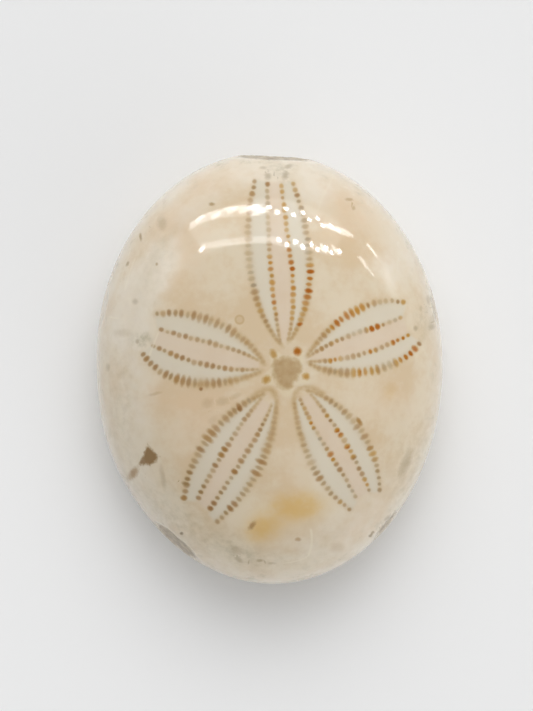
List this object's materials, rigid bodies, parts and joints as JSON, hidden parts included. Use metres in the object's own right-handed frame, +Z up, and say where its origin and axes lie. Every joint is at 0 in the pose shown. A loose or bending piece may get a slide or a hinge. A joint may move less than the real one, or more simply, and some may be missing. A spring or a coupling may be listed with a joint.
{
  "type": "fossil sea urchin",
  "caption": "Polished fossil sea urchin test: a low oval dome with a dotted petal flower on top, worn rim flats and a ground base with mouth and vent pits.",
  "frame": {"origin": "middle of the bounding box at the level of the ground base that the fossil lies on", "axes": "+Y along the length towards the front of the animal, +X across to the side that is on the right when seen from above with the front up, +Z up out of the domed top"},
  "size_m": [0.0324, 0.0402, 0.0162],
  "materials": {
    "polished_fossil_limestone": "polished"
  },
  "bodies": {
    "root": {"fossil_sea_urchin": "polished_fossil_limestone"}
  },
  "joints": []
}
